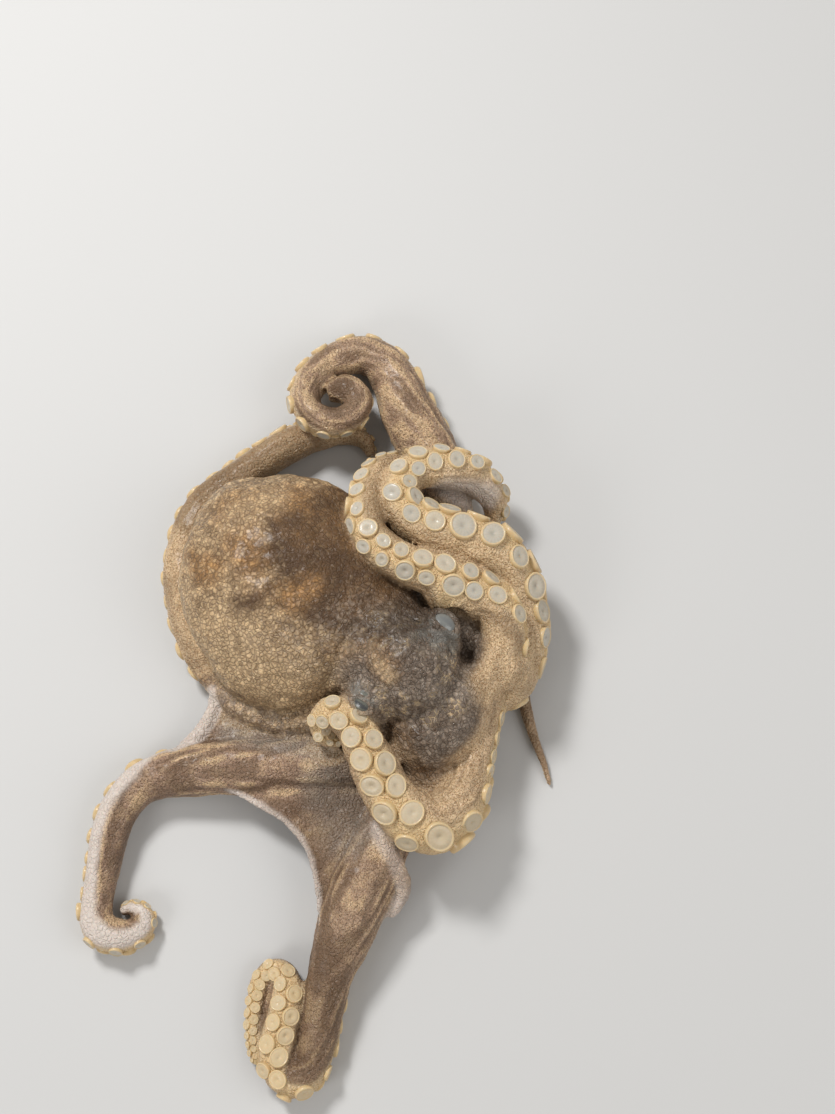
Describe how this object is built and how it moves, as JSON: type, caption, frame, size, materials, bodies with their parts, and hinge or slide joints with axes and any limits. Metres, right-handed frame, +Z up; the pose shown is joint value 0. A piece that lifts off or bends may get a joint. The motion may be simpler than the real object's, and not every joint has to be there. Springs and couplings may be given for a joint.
{
  "type": "octopus",
  "caption": "Limp small octopus, life size: baggy mantle, head with eyes and siphon, webbed crown of long curling arms with rows of suckers.",
  "frame": {"origin": "on the floor under the middle of the animal's box", "axes": "+Z up; +Y from the longest right arm's fold to the coiled left arm; the head points to +X and -Y"},
  "size_m": [0.1205, 0.2012, 0.0342],
  "materials": {
    "mantle_skin": "wet, fine-grained skin, brown net over tan",
    "head_skin": "wet, rough, dark grey-brown skin",
    "web_skin": "wet, thin mottled brown skin with a pale rim",
    "siphon_skin": "wet, pale wrinkled skin",
    "eye": "glossy, clouded",
    "arm_skin": "wet, brown specks over cream, pale suckers with amber skin round them"
  },
  "bodies": {
    "root": {"mantle": "mantle_skin", "head": "head_skin", "crown_web": "web_skin", "siphon": "siphon_skin", "eye_left": "eye", "eye_right": "eye", "arm_r1_base": "arm_skin", "arm_r1_middle": "arm_skin", "arm_r1_tip": "arm_skin", "arm_r2_base": "arm_skin", "arm_r2_middle": "arm_skin", "arm_r2_tip": "arm_skin", "arm_r3_base": "arm_skin", "arm_r3_middle": "arm_skin", "arm_r3_tip": "arm_skin", "arm_r4_base": "arm_skin", "arm_r4_middle": "arm_skin", "arm_r4_tip": "arm_skin", "arm_l1_base": "arm_skin", "arm_l1_middle": "arm_skin", "arm_l1_tip": "arm_skin", "arm_l2_base": "arm_skin", "arm_l2_middle": "arm_skin", "arm_l2_tip": "arm_skin", "arm_l3_base": "arm_skin", "arm_l3_middle": "arm_skin", "arm_l3_tip": "arm_skin", "arm_l4_base": "arm_skin", "arm_l4_middle": "arm_skin", "arm_l4_tip": "arm_skin"}
  },
  "joints": []
}
